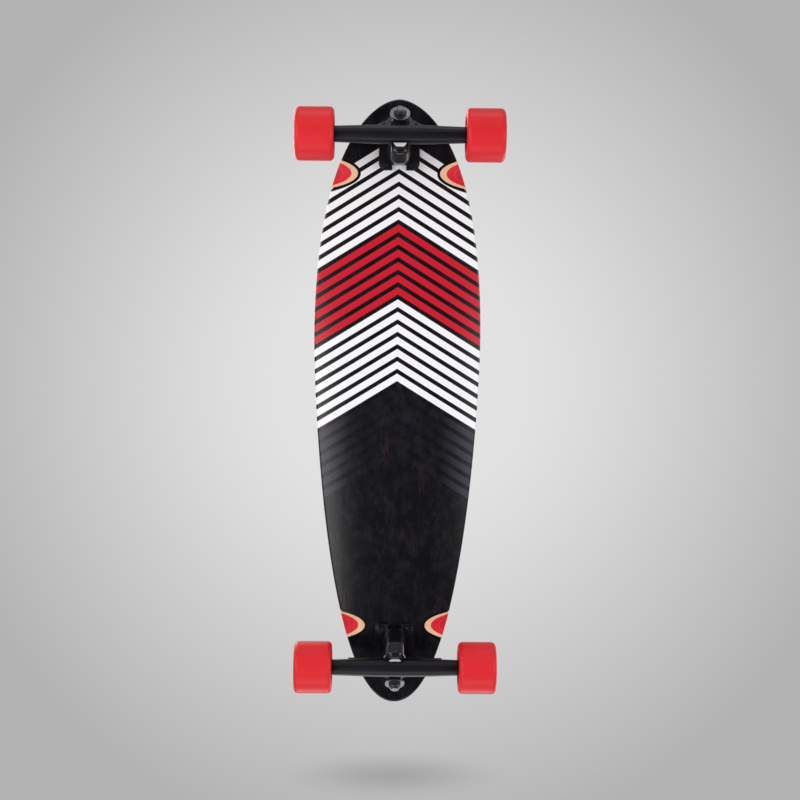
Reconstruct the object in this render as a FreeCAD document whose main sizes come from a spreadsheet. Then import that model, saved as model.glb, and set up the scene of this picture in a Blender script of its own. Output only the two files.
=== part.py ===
import FreeCAD, Part
import math
import os
import Sketcher
from FreeCAD import Placement, Rotation, Vector

# A longboard: pressed maple deck, two reverse-kingpin trucks, four urethane wheels.
# X runs across the board, Y along it with the nose at +Y, Z up from the ground under the wheels.

SIZES = {
    # Deck, pressed from eight plies with a flat middle and upturned rails
    "deck_length": 838, "deck_width": 229, "deck_thickness": 11.5, "widest_station": 90,
    "flat_half_width": 32, "concave_radius": 560, "edge_round": 2.5,
    "nose_side_handle": 290, "nose_tip_handle": 24, "tail_side_handle": 80, "tail_tip_handle": 96,
    "grip_thickness": 0.8, "grip_inset": 3,
    # Wheel wells milled into the underside at the rails
    "well_depth": 4, "well_length": 38, "well_reach": 30, "front_well_inset": 48, "rear_well_inset": 40,
    # Truck placing and pivot geometry, measured from the axle
    "axle_station": 358, "truck_shift": 10, "truck_height": 68, "pivot_angle": 45, "pivot_rake": 12,
    "ring_reach": 32,
    # Baseplate
    "plate_width": 55, "plate_thickness": 8, "plate_inner_end": 44, "plate_outer_end": 27,
    "plate_corner": 9, "notch_width": 19, "notch_depth": 7, "tower_radius": 12, "tower_base": 20,
    "tower_round": 9, "facet_depth": 1.8, "facet_run": 9, "seat_radius": 15.5, "seat_web": 8,
    # Bolt pattern and mounting hardware
    "bolt_spacing_across": 41.3, "bolt_spacing_along": 54, "bolt_inner_station": 36.5, "bolt_radius": 2.4,
    "bolt_head_radius": 4.6, "bolt_head_height": 2.8, "bolt_nut_flats": 9.5, "bolt_nut_height": 5.5,
    "bolt_stick_out": 2, "bolt_hole_gap": 0.3,
    # Kingpin, bushings and washers
    "kingpin_radius": 4.75, "kingpin_head_flats": 14.2, "kingpin_head_height": 6, "kingpin_end": 1,
    "kingpin_nut_flats": 14.2, "kingpin_nut_height": 7.5, "bushing_radius": 12.4, "bushing_length": 15,
    "bushing_waist": 1.4, "bushing_cone_radius": 9.6, "washer_radius": 13.4, "washer_thickness": 2,
    # Hanger
    "hanger_length": 180, "hanger_end_radius": 10.5, "hanger_middle_radius": 12.5, "hanger_middle_length": 56,
    "ring_radius": 15.6, "ring_thickness": 10, "ring_hole_radius": 8, "ring_seat_depth": 1.5,
    "web_thickness": 9, "web_foot": 3, "web_root_half": 64, "web_root_top": 14, "web_arm_half": 52,
    "web_arm_top": 23, "web_sweep_half": 30, "web_sweep_top": 28, "web_neck_half": 19, "web_neck_top": 35,
    "web_head_half": 14, "web_head_top": 43, "web_pocket_depth": 5, "web_rib": 4,
    "pocket_start": 12.5, "pocket_half": 50,
    "nose_radius": 6.5, "nose_length": 22, "nose_tip_radius": 3.5, "nose_root": 4, "tower_gap": 1,
    "tower_floor": 5, "cup_wall": 2.3, "cup_gap": 0.3,
    # Axle, nuts and spacers
    "axle_radius": 4, "axle_length": 249, "axle_nut_flats": 12.7, "axle_nut_height": 6.5,
    "speed_ring_thickness": 1, "speed_ring_radius": 5.6, "spacer_length": 10, "spacer_radius": 5.2,
    # Wheel and its bearings
    "wheel_radius": 35, "wheel_width": 51, "wheel_lip": 6, "wheel_overlap": 4, "wheel_mouth_radius": 25,
    "core_radius": 19, "core_lip": 1, "core_shoulder_radius": 9.4, "bearing_radius": 11, "bearing_width": 7,
    "outer_land_radius": 9.2, "inner_land_radius": 6, "ball_radius": 1.985, "pitch_radius": 7.6,
    "race_gap": 0.08, "shield_thickness": 0.4, "shield_inset": 0.3, "shield_gap": 0.3,
    "fit_gap": 0.05,
}
BALLS = 7
HEX_SIDES = 6
# Shares of a hexagon's size taken by its bevel and by a lock nut's round collar
HEX_BEVEL = 0.6
COLLAR_RADIUS = 0.44
COLLAR_HEIGHT = 0.25
# How far a cutter or a blank runs past the piece it shapes
BLANK_OVERSIZE = 1.1
CUTTER_OVERSIZE = 4
TOUCH = 0.01

doc = FreeCAD.newDocument("longboard")
sheet = doc.addObject("Spreadsheet::Sheet", "Sizes")
for row, (alias, number) in enumerate(SIZES.items(), start=1):
    sheet.set(f"A{row}", alias)
    sheet.set(f"B{row}", str(number))
    sheet.setAlias(f"B{row}", alias)
doc.recompute()


class Size:
    """A number with the sheet formula that gives it."""

    def __init__(self, value, formula):
        self.value = value
        self.formula = formula

    def joined(self, other, sign, value):
        return Size(value, f"({self.formula} {sign} {as_size(other).formula})")

    def __add__(self, other):
        return self.joined(other, "+", self.value + as_size(other).value)

    def __sub__(self, other):
        return self.joined(other, "-", self.value - as_size(other).value)

    def __mul__(self, other):
        return self.joined(other, "*", self.value * as_size(other).value)

    def __truediv__(self, other):
        return self.joined(other, "/", self.value / as_size(other).value)

    def __neg__(self):
        return Size(-self.value, f"(0 - {self.formula})")

    def __float__(self):
        return float(self.value)


def as_size(thing):
    return thing if isinstance(thing, Size) else Size(thing, repr(thing))


def size(alias):
    return Size(float(sheet.get(alias)), f"Sizes.{alias}")


ZERO = as_size(0)


# Building blocks


def plane(body, role):
    return next(f for f in body.Origin.OriginFeatures if f.Role == role)


def pin_point(sketch, index, point, x, y):
    """Ties one end of a line to its place, by axis or by distance from the origin."""
    for kind, axis, place in (("DistanceX", -2, x), ("DistanceY", -1, y)):
        if place is ZERO:
            sketch.addConstraint(Sketcher.Constraint("PointOnObject", index, point, axis))
        else:
            made = sketch.addConstraint(Sketcher.Constraint(kind, -1, 1, index, point, place.value))
            sketch.setExpression(f"Constraints[{made}]", place.formula)


def outline_sketch(body, role, points):
    """A closed outline of straight lines through points given as pairs of sizes."""
    sketch = body.newObject("Sketcher::SketchObject", body.Name + "_outline")
    sketch.AttachmentSupport = [(plane(body, role), "")]
    sketch.MapMode = "FlatFace"
    corners = [Vector(float(x), float(y), 0) for x, y in points]
    for index, start in enumerate(corners):
        sketch.addGeometry(Part.LineSegment(start, corners[(index + 1) % len(corners)]), False)
    for index, (x, y) in enumerate(points):
        after = (index + 1) % len(points)
        sketch.addConstraint(Sketcher.Constraint("Coincident", index, 2, after, 1))
        pin_point(sketch, index, 1, x, y)
    return sketch


def turned(name, points, placement=Placement()):
    """A piece turned about its own Z axis from points given as (radius, height)."""
    body = doc.addObject("PartDesign::Body", name)
    sketch = outline_sketch(body, "XZ_Plane", points)
    turn = body.newObject("PartDesign::Revolution", name + "_turn")
    turn.Profile = sketch
    turn.ReferenceAxis = (sketch, ["V_Axis"])
    turn.Angle = 360
    body.Placement = placement
    doc.recompute()
    return body


def padded(name, role, points, length, placement=Placement()):
    """A straight outline padded evenly to both sides of its plane."""
    body = doc.addObject("PartDesign::Body", name)
    sketch = outline_sketch(body, role, points)
    pad = body.newObject("PartDesign::Pad", name + "_pad")
    pad.Profile = sketch
    pad.Midplane = True
    pad.Length = float(length)
    pad.setExpression("Length", length.formula)
    body.Placement = placement
    doc.recompute()
    return body


def rounded(body, radius, wanted):
    """Rounds the edges of a body that the test picks out."""
    base = body.Tip
    names = [f"Edge{i}" for i, edge in enumerate(base.Shape.Edges, start=1) if wanted(edge)]
    fillet = body.newObject("PartDesign::Fillet", body.Name + "_round")
    fillet.Base = (base, names)
    fillet.Radius = float(radius)
    fillet.setExpression("Radius", radius.formula)
    doc.recompute()
    return body


def rod(name, radius, length, placement):
    """A plain cylinder from its placement along its own Z axis."""
    made = doc.addObject("Part::Cylinder", name)
    made.setExpression("Radius", radius.formula)
    made.setExpression("Height", length.formula)
    made.Placement = placement
    return made


def fused(name, shapes):
    made = doc.addObject("Part::MultiFuse", name)
    made.Shapes = shapes
    made.Refine = True
    return made


def cut(name, base, tools):
    made = doc.addObject("Part::Cut", name)
    made.Base = base
    made.Tool = tools[0] if len(tools) == 1 else fused(name + "_tools", tools)
    made.Refine = True
    return made


def group(name, pieces, placement=Placement()):
    made = doc.addObject("Part::Compound", name)
    made.Links = pieces
    made.Placement = placement
    return made


def hexagon(name, flats, height, placement):
    """A hexagonal prism with the corners of its far end turned off."""
    prism = doc.addObject("Part::Prism", name + "_prism")
    prism.Polygon = HEX_SIDES
    prism.setExpression("Circumradius", (flats / math.sqrt(3)).formula)
    prism.setExpression("Height", height.formula)
    corner = flats / math.sqrt(3)
    bevel = (corner - flats / 2) * HEX_BEVEL
    turned_off = turned(
        name + "_bevel",
        [(ZERO, ZERO), (corner, ZERO), (corner, height - bevel), (flats / 2, height), (ZERO, height)],
    )
    made = doc.addObject("Part::Common", name)
    made.Base = prism
    made.Tool = turned_off
    made.Placement = placement
    return made


def lock_nut(name, flats, height, bore, placement):
    """A hexagon with a round collar on top, where the locking insert sits."""
    hexagonal = hexagon(name + "_hex", flats, height * (1 - COLLAR_HEIGHT), Placement())
    collar = rod(name + "_collar", flats * COLLAR_RADIUS, height, Placement())
    body = fused(name + "_blank", [hexagonal, collar])
    made = cut(name, body, [rod(name + "_bore", bore, height, Placement())])
    made.Placement = placement
    return made


def at(x, y, z, rotation=Rotation()):
    return Placement(Vector(float(x), float(y), float(z)), rotation)


def facing(direction):
    return Rotation(Vector(0, 0, 1), direction)


sub_parts = []


def finished(label, piece, placement=None):
    """Names a sub-part and sets it in its place on the board."""
    piece.Label = label
    if placement is not None:
        piece.Placement = placement.multiply(piece.Placement)
    sub_parts.append(piece)
    return piece


# Heights and stations shared by several pieces

axle_height = size("wheel_radius")
deck_underside = axle_height + size("truck_height")
half_across = size("bolt_spacing_across") / 2
bolt_stations = (-size("bolt_inner_station"), size("bolt_spacing_along") - size("bolt_inner_station"))
bolt_places = [(side, along) for side in (half_across, -half_across) for along in bolt_stations]
front_axle_station = size("truck_shift") + size("axle_station")
rear_axle_station = size("truck_shift") - size("axle_station")
TRUCKS = {
    "front": at(0, front_axle_station, axle_height),
    "rear": at(0, rear_axle_station, axle_height, Rotation(Vector(0, 0, 1), 180)),
}

# The pivot axis rises outward and the kingpin stands square to it, falling outward
angle = math.radians(float(size("pivot_angle")))
pivot_way = Vector(0, math.cos(angle), math.sin(angle))
kingpin_way = Vector(0, math.sin(angle), -math.cos(angle))
pivot_foot = kingpin_way * -float(size("pivot_rake"))
ring_centre = pivot_foot + pivot_way * float(size("ring_reach"))
along_pivot = Placement(pivot_foot, facing(pivot_way))


def along_kingpin(distance):
    """The place on the kingpin's axis that far towards its nut from the middle of the ring."""
    return Placement(ring_centre + kingpin_way * float(distance), facing(kingpin_way))


ring_face = size("ring_thickness") / 2 - size("ring_seat_depth")
seat_distance = ring_face + size("bushing_length") + size("washer_thickness")


# Deck and grip tape


def rail_rise(x):
    """How far the underside has risen above its flat middle at that distance from the centreline."""
    radius = float(size("concave_radius"))
    out = max(0.0, x - float(size("flat_half_width")))
    return radius - math.sqrt(radius * radius - out * out)


def plan_outline(inset):
    """The deck's plan: a rounded nose, the widest station forward of the middle and a drawn-out tail."""
    half_length = float(size("deck_length")) / 2 - inset
    half_width = float(size("deck_width")) / 2 - inset
    station = float(size("widest_station"))
    curves = []
    for side in (1, -1):
        for tip, side_handle, tip_handle in (
            (half_length, "nose_side_handle", "nose_tip_handle"),
            (-half_length, "tail_side_handle", "tail_tip_handle"),
        ):
            way = math.copysign(1, tip)
            curve = Part.BezierCurve()
            curve.setPoles([
                Vector(side * half_width, station, 0),
                Vector(side * half_width, station + way * float(size(side_handle)), 0),
                Vector(side * float(size(tip_handle)), tip, 0),
                Vector(0, tip, 0),
            ])
            curves.append(curve.toShape())
    return Part.Face(Part.Wire(Part.sortEdges(curves)[0]))


def press_layer(name, lift, thickness):
    """A long bent sheet: flat in the middle, rising on arcs to both rails."""
    body = doc.addObject("PartDesign::Body", name)
    sketch = body.newObject("Sketcher::SketchObject", name + "_section")
    sketch.AttachmentSupport = [(plane(body, "XZ_Plane"), "")]
    sketch.MapMode = "FlatFace"
    flat = size("flat_half_width")
    reach = size("deck_width") / 2 + size("deck_thickness")
    bend = size("concave_radius")
    inner = bend - lift - thickness
    outer = bend - lift
    down = -math.pi / 2

    def arc(side, radius):
        swing = math.asin((float(reach) - float(flat)) / float(radius))
        circle = Part.Circle(Vector(side * float(flat), float(bend), 0), Vector(0, 0, 1), float(radius))
        return Part.ArcOfCircle(circle, min(down, down + side * swing), max(down, down + side * swing))

    low = Vector(float(flat), float(lift), 0)
    high = Vector(float(flat), float(lift + thickness), 0)
    arcs = [arc(1, outer), arc(1, inner), arc(-1, inner), arc(-1, outer)]
    ends = [a.EndPoint if i < 2 else a.StartPoint for i, a in enumerate(arcs)]
    lines = [
        (Vector(-low.x, low.y, 0), low), (ends[0], ends[1]),
        (high, Vector(-high.x, high.y, 0)), (ends[2], ends[3]),
    ]
    shapes = [lines[0], arcs[0], lines[1], arcs[1], lines[2], arcs[2], lines[3], arcs[3]]
    for shape in shapes:
        sketch.addGeometry(Part.LineSegment(*shape) if isinstance(shape, tuple) else shape, False)
    # Joints run round the section: flat, right arc, right end, and so on
    joints = [
        ((0, 2), (1, 1)), ((1, 2), (2, 1)), ((2, 2), (3, 2)), ((3, 1), (4, 1)),
        ((4, 2), (5, 2)), ((5, 1), (6, 1)), ((6, 2), (7, 1)), ((7, 2), (0, 1)),
    ]
    for first, second in joints:
        sketch.addConstraint(Sketcher.Constraint("Coincident", *first, *second))
    for index, x in ((1, flat), (5, -flat)):
        pin_point(sketch, index, 3, x, bend)
    sketch.addConstraint(Sketcher.Constraint("Coincident", 3, 3, 1, 3))
    sketch.addConstraint(Sketcher.Constraint("Coincident", 7, 3, 5, 3))
    for index, radius in ((1, outer), (3, inner), (5, inner), (7, outer)):
        made = sketch.addConstraint(Sketcher.Constraint("Radius", index, float(radius)))
        sketch.setExpression(f"Constraints[{made}]", radius.formula)
    for index, point, x in ((2, 1, reach), (2, 2, reach), (6, 1, -reach), (6, 2, -reach),
                            (0, 2, flat), (4, 1, flat), (0, 1, -flat), (4, 2, -flat)):
        made = sketch.addConstraint(Sketcher.Constraint("DistanceX", -1, 1, index, point, float(x)))
        sketch.setExpression(f"Constraints[{made}]", x.formula)
    pad = body.newObject("PartDesign::Pad", name + "_pad")
    pad.Profile = sketch
    pad.Midplane = True
    pad.setExpression("Length", (size("deck_length") * BLANK_OVERSIZE).formula)
    body.Placement = at(0, 0, deck_underside)
    doc.recompute()
    return body


def trimmed_to_plan(name, layer, inset):
    """A pressed layer cut out along the deck's plan."""
    cutter = doc.addObject("Part::Feature", name + "_plan")
    tall = CUTTER_OVERSIZE * float(size("deck_thickness"))
    cutter.Shape = plan_outline(float(inset)).extrude(Vector(0, 0, tall))
    cutter.Placement = at(0, 0, float(deck_underside) - float(size("deck_thickness")))
    made = doc.addObject("Part::Common", name)
    made.Base = layer
    made.Tool = cutter
    doc.recompute()
    return made


def edge_rounded(name, base, radius):
    """Both outline edges of the deck rounded over."""
    shape = base.Shape
    picked = set()
    for face in shape.Faces:
        u, v = face.Surface.parameter(face.CenterOfMass)
        if abs(face.normalAt(u, v).z) < 0.5:
            for edge in face.Edges:
                box = edge.BoundBox
                if max(box.XLength, box.YLength) > 1:
                    picked.update(i for i, e in enumerate(shape.Edges, start=1) if e.isSame(edge))
    made = doc.addObject("Part::Fillet", name)
    made.Base = base
    made.Edges = [(i, float(radius), float(radius)) for i in sorted(picked)]
    doc.recompute()
    return made


def plan_half_width(y):
    """The half width of the deck's plan at a station."""
    row = Part.makeLine(Vector(0, y, 0), Vector(float(size("deck_width")), y, 0))
    return row.common(plan_outline(0.0)).BoundBox.XMax


def well_cutter(name, side, station):
    """A lying cylinder, tipped so that the scoop is deepest at the rail and runs out inboard."""
    rail = plan_half_width(station)
    inner = rail - float(size("well_reach"))
    depth = float(size("well_depth"))
    chord = float(size("well_length")) / 2
    radius = (chord * chord + depth * depth) / (2 * depth)
    start = Vector(side * inner, station, float(deck_underside) + rail_rise(inner))
    end = Vector(side * rail, station, float(deck_underside) + rail_rise(rail) + depth)
    way = (end - start).normalize()
    down = Vector(-way.z, 0, way.x) * (-side)
    beyond = float(size("well_reach"))
    made = doc.addObject("Part::Cylinder", name)
    made.Radius = radius
    made.Height = (end - start).Length + 2 * beyond
    made.Placement = Placement(start - way * beyond + down * radius, facing(way))
    return made


def make_deck():
    layer = press_layer("deck_blank", ZERO, size("deck_thickness"))
    board = edge_rounded("deck_rounded", trimmed_to_plan("deck_cut_out", layer, ZERO), size("edge_round"))
    tools = []
    for side, hand in ((1, "right"), (-1, "left")):
        tools.append(well_cutter(f"front_{hand}_well", side,
                                 float(front_axle_station - size("front_well_inset"))))
        tools.append(well_cutter(f"rear_{hand}_well", side,
                                 float(rear_axle_station + size("rear_well_inset"))))
    hole = size("bolt_radius") + size("bolt_hole_gap")
    top = size("deck_thickness")
    head = size("bolt_head_radius") + size("bolt_hole_gap")
    for end, truck in TRUCKS.items():
        for index, (x, y) in enumerate(bolt_places):
            place = truck.multiply(at(x, y, size("truck_height")))
            tools.append(turned(f"{end}_bolt_hole_{index}", [
                (ZERO, -top), (hole, -top), (hole, top - size("bolt_head_height")), (head, top),
                (head, top * 2), (ZERO, top * 2),
            ], place))
    finished("deck", cut("deck", board, tools))


def make_grip_tape():
    layer = press_layer("grip_sheet", size("deck_thickness"), size("grip_thickness"))
    sheet_cut = trimmed_to_plan("grip_cut_out", layer, size("grip_inset"))
    hole = size("bolt_head_radius") + size("bolt_hole_gap")
    tools = []
    for end, truck in TRUCKS.items():
        for index, (x, y) in enumerate(bolt_places):
            tools.append(rod(f"{end}_grip_hole_{index}", hole, size("deck_thickness") * CUTTER_OVERSIZE,
                             truck.multiply(at(x, y, size("truck_height")))))
    finished("grip_tape", cut("grip_tape", sheet_cut, tools))


# Trucks


def make_baseplate(end, truck):
    """A cast plate with two bolt lobes, a kingpin seat and a tower that hoods the pivot."""
    height = size("truck_height")
    half = size("plate_width") / 2
    inner, outer = -size("plate_inner_end"), size("plate_outer_end")
    notch, notch_end = size("notch_width") / 2, size("notch_depth") - size("plate_inner_end")
    plate = padded(f"{end}_plate", "XY_Plane", [
        (-half, inner), (-notch, inner), (-notch, notch_end), (notch, notch_end), (notch, inner),
        (half, inner), (half, outer), (-half, outer),
    ], size("plate_thickness"), at(0, 0, height - size("plate_thickness") / 2))
    half_value = float(half)
    rounded(plate, size("plate_corner"), lambda e: (
        e.BoundBox.ZLength > e.BoundBox.DiagonalLength - TOUCH
        and abs(abs(e.CenterOfMass.x) - half_value) < TOUCH))
    # Tower corners are worked out along the pivot axis and square to it
    radius = size("tower_radius")
    mouth = -(size("hanger_middle_radius") + size("tower_gap"))
    blind = -(size("nose_length") + size("cup_gap") + size("cup_wall") + size("tower_floor"))

    def tower_point(along, across):
        place = pivot_foot + pivot_way * float(along) + kingpin_way * float(across)
        return as_size(place.y), as_size(place.z)

    base_top = height - size("plate_thickness") / 2
    tower = padded(f"{end}_tower", "YZ_Plane", [
        (-size("tower_base"), base_top), tower_point(mouth, -radius), tower_point(mouth, radius),
        tower_point(blind, radius), tower_point(blind, -radius), (notch_end, base_top),
    ], radius * 2)
    closed_end = [pivot_foot + pivot_way * float(blind) + kingpin_way * float(side)
                  for side in (radius, -radius)]
    rounded(tower, size("tower_round"), lambda e: any(
        math.hypot(v.Y - corner.y, v.Z - corner.z) < TOUCH for v in e.Vertexes for corner in closed_end))
    # A milled facet clears the hanger's bar at the tower's mouth
    slope = pivot_way * float(size("facet_run")) - kingpin_way * float(size("facet_depth"))
    lip = pivot_foot + pivot_way * float(mouth) + kingpin_way * float(radius - size("facet_depth"))
    across = Vector(-1, 0, 0)
    facet = doc.addObject("Part::Box", f"{end}_facet")
    facet.setExpression("Length", (radius * CUTTER_OVERSIZE).formula)
    facet.setExpression("Width", (size("facet_run") * CUTTER_OVERSIZE).formula)
    facet.setExpression("Height", radius.formula)
    facet.Placement = Placement(
        lip - (slope + across * float(radius)) * (CUTTER_OVERSIZE / 2),
        Rotation(across, Vector(slope).normalize(), across.cross(slope).normalize(), "XYZ"))
    seat_length = size("seat_web") + size("kingpin_head_height") + size("seat_radius")
    seat = rod(f"{end}_seat", size("seat_radius"), seat_length,
               along_kingpin(-(seat_distance + seat_length)))
    faced = cut(f"{end}_tower_faced", tower, [facet])
    casting = fused(f"{end}_casting", [plate, faced, seat])
    above = doc.addObject("Part::Box", f"{end}_deck_side")
    for side in ("Length", "Width", "Height"):
        above.setExpression(side, (size("plate_width") * CUTTER_OVERSIZE).formula)
    reach = float(size("plate_width")) * CUTTER_OVERSIZE / 2
    above.Placement = at(-reach, -reach, height)
    head_room = size("kingpin_head_flats") / math.sqrt(3) + size("bolt_hole_gap")
    tools = [
        above,
        rod(f"{end}_kingpin_bore", size("kingpin_radius") + size("fit_gap"), seat_distance + seat_length,
            along_kingpin(-(seat_distance + size("seat_web") * 2))),
        rod(f"{end}_head_pocket", head_room, size("truck_height"),
            along_kingpin(-(seat_distance + size("seat_web") + size("truck_height")))),
        rod(f"{end}_pivot_bore", size("nose_radius") + size("cup_gap") + size("cup_wall") + size("fit_gap"),
            size("ring_reach"), Placement(
                pivot_foot - pivot_way * float(size("nose_length") + size("cup_gap") + size("cup_wall")),
                facing(pivot_way))),
    ]
    for index, (x, y) in enumerate(bolt_places):
        tools.append(rod(f"{end}_plate_hole_{index}", size("bolt_radius") + size("bolt_hole_gap"),
                         size("truck_height"), at(x, y, height / 2)))
    finished(f"{end}_baseplate", cut(f"{end}_baseplate", casting, tools), truck)


def make_pivot(end, truck):
    """The urethane cup that lines the tower's bore round the hanger's nose."""
    inside = size("nose_radius") + size("cup_gap")
    tip = size("nose_tip_radius") + size("cup_gap")
    bottom = -(size("nose_length") + size("cup_gap"))
    slope = size("nose_radius") - size("nose_tip_radius")
    mouth = -(size("hanger_middle_radius") + size("tower_gap"))
    outside = inside + size("cup_wall")
    cup = turned(f"{end}_pivot_cup", [
        (ZERO, bottom), (tip, bottom), (inside, bottom + slope), (inside, mouth), (outside, mouth),
        (outside, bottom - size("cup_wall")), (ZERO, bottom - size("cup_wall")),
    ], along_pivot)
    finished(f"{end}_pivot_cup", cup, truck)


def bushing_points(near, far, waist):
    """A bushing's half section, narrowed at its middle or towards its far end."""
    bore = size("kingpin_radius") + size("fit_gap")
    length = size("bushing_length")
    return [(bore, ZERO), (near, ZERO), (waist, length / 2), (far, length), (bore, length)]


def make_kingpin_stack(end, truck):
    """Kingpin, nut, two bushings and two washers, threaded on one axis."""
    head = size("kingpin_head_height")
    face = seat_distance + size("seat_web")
    shank_length = face + seat_distance + size("kingpin_nut_height") + size("kingpin_end")
    shank = rod(f"{end}_shank", size("kingpin_radius"), shank_length, along_kingpin(-face))
    flipped = along_kingpin(-face).multiply(Placement(Vector(), Rotation(Vector(1, 0, 0), 180)))
    kingpin = fused(f"{end}_kingpin", [
        hexagon(f"{end}_kingpin_head", size("kingpin_head_flats"), head, flipped), shank])
    finished(f"{end}_kingpin", kingpin, truck)
    bore = size("kingpin_radius") + size("fit_gap")
    nut = lock_nut(f"{end}_kingpin_nut", size("kingpin_nut_flats"), size("kingpin_nut_height"), bore,
                   along_kingpin(seat_distance))
    finished(f"{end}_kingpin_nut", nut, truck)
    full = size("bushing_radius")
    back = Placement(Vector(), Rotation(Vector(1, 0, 0), 180))
    stack = {
        "boardside": (along_kingpin(-ring_face).multiply(back), full, full - size("bushing_waist")),
        "roadside": (along_kingpin(ring_face), size("bushing_cone_radius"),
                     (full + size("bushing_cone_radius")) / 2),
    }
    for name, (place, far, waist) in stack.items():
        bushing = turned(f"{end}_{name}_bushing", bushing_points(full, far, waist), place)
        finished(f"{end}_{name}_bushing", bushing, truck)
        start = size("bushing_length")
        stop = start + size("washer_thickness")
        washer = turned(f"{end}_{name}_washer", [
            (bore, start), (size("washer_radius"), start), (size("washer_radius"), stop), (bore, stop),
        ], place)
        finished(f"{end}_{name}_washer", washer, truck)


def make_mounting_hardware(end, truck):
    """Four countersunk bolts from the deck's top and their lock nuts under the plate."""
    top = size("deck_thickness")
    nut_seat = -size("plate_thickness")
    tip = nut_seat - size("bolt_nut_height") - size("bolt_stick_out")
    cone = top - size("bolt_head_height")
    bolts, nuts = [], []
    upside_down = Rotation(Vector(1, 0, 0), 180)
    for index, (x, y) in enumerate(bolt_places):
        bolts.append(turned(f"{end}_bolt_{index}", [
            (ZERO, tip), (size("bolt_radius"), tip), (size("bolt_radius"), cone),
            (size("bolt_head_radius"), top), (ZERO, top),
        ], at(x, y, size("truck_height"))))
        nuts.append(lock_nut(f"{end}_bolt_nut_{index}", size("bolt_nut_flats"), size("bolt_nut_height"),
                             size("bolt_radius") + size("fit_gap"),
                             at(x, y, size("truck_height") + nut_seat, upside_down)))
    finished(f"{end}_mounting_bolts", group(f"{end}_mounting_bolts", bolts), truck)
    finished(f"{end}_mounting_nuts", group(f"{end}_mounting_nuts", nuts), truck)


def make_hanger(end, truck):
    """A tapered bar with webs drawn in to the bushing ring, and the pivot nose on the other side."""
    across = Rotation(Vector(0, 1, 0), 90)
    half = size("hanger_length") / 2
    middle = size("hanger_middle_length") / 2
    thin, thick = size("hanger_end_radius"), size("hanger_middle_radius")
    bar = turned(f"{end}_bar", [
        (ZERO, -half), (thin, -half), (thick, -middle), (thick, middle), (thin, half), (ZERO, half),
    ], Placement(Vector(), across))
    nose = turned(f"{end}_nose", [
        (ZERO, -size("nose_length")), (size("nose_tip_radius"), -size("nose_length")),
        (size("nose_radius"), size("nose_radius") - size("nose_tip_radius") - size("nose_length")),
        (size("nose_radius"), size("nose_root")), (ZERO, size("nose_root")),
    ], along_pivot)
    ring = size("ring_radius")
    root, root_top = size("web_root_half"), size("web_root_top")
    arm, arm_top = size("web_arm_half"), size("web_arm_top")
    sweep, sweep_top = size("web_sweep_half"), size("web_sweep_top")
    neck, neck_top = size("web_neck_half"), size("web_neck_top")
    head, head_top = size("web_head_half"), size("web_head_top")
    # The webs lie in the ring's plane, across and along the pivot axis
    in_ring_plane = Placement(pivot_foot, Rotation(Vector(1, 0, 0), pivot_way, -kingpin_way, "XYZ"))
    web = padded(f"{end}_web", "XY_Plane", [
        (-root, size("web_foot")), (root, size("web_foot")), (root, root_top), (arm, arm_top),
        (sweep, sweep_top), (neck, neck_top), (head, head_top), (-head, head_top), (-neck, neck_top),
        (-sweep, sweep_top), (-arm, arm_top), (-root, root_top),
    ], size("web_thickness"), in_ring_plane)
    boss = rod(f"{end}_ring", ring, size("ring_thickness"), along_kingpin(-(size("ring_thickness") / 2)))
    casting = fused(f"{end}_hanger_casting", [bar, nose, web, boss])
    rim = size("ring_thickness") / 2
    seat = size("bushing_radius") + size("cup_gap")
    rib = size("web_rib")
    pocket_floor = size("web_thickness") / 2 - size("web_pocket_depth")
    tools = [
        rod(f"{end}_axle_bore", size("axle_radius") + size("fit_gap"), size("hanger_length"),
            Placement(Vector(-float(half), 0, 0), across)),
        rod(f"{end}_ring_hole", size("ring_hole_radius"), size("ring_thickness") * 2,
            along_kingpin(-size("ring_thickness"))),
        rod(f"{end}_road_seat", seat, size("bushing_length"), along_kingpin(rim - size("ring_seat_depth"))),
        rod(f"{end}_board_seat", seat, size("bushing_length"),
            along_kingpin(size("ring_seat_depth") - rim - size("bushing_length"))),
    ]
    for side in (1, -1):
        pocket = padded(f"{end}_pocket_{'right' if side > 0 else 'left'}", "XY_Plane", [
            ((ring + rib) * side, size("pocket_start")), (size("pocket_half") * side, size("pocket_start")),
            ((arm - rib) * side, arm_top - rib), (sweep * side, sweep_top - rib),
            ((ring + rib) * side, neck_top - rib),
        ], size("web_pocket_depth") * 2)
        pocket.Placement = in_ring_plane.multiply(at(0, 0, -(pocket_floor + size("web_pocket_depth"))))
        tools.append(pocket)
    finished(f"{end}_hanger", cut(f"{end}_hanger", casting, tools), truck)


# Axle and wheels. Wheel pieces are turned about their own Z axis, which points outward.

stack_start = size("hanger_length") / 2
bearing_in = stack_start + size("speed_ring_thickness")
bearing_out = bearing_in + size("bearing_width") + size("spacer_length")
nut_start = bearing_out + size("bearing_width") + size("speed_ring_thickness")
SIDES = {"right": Rotation(Vector(0, 1, 0), 90), "left": Rotation(Vector(0, 1, 0), -90)}


def tube_points(inner, outer, start, length):
    return [(inner, start), (outer, start), (outer, start + length), (inner, start + length)]


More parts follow.
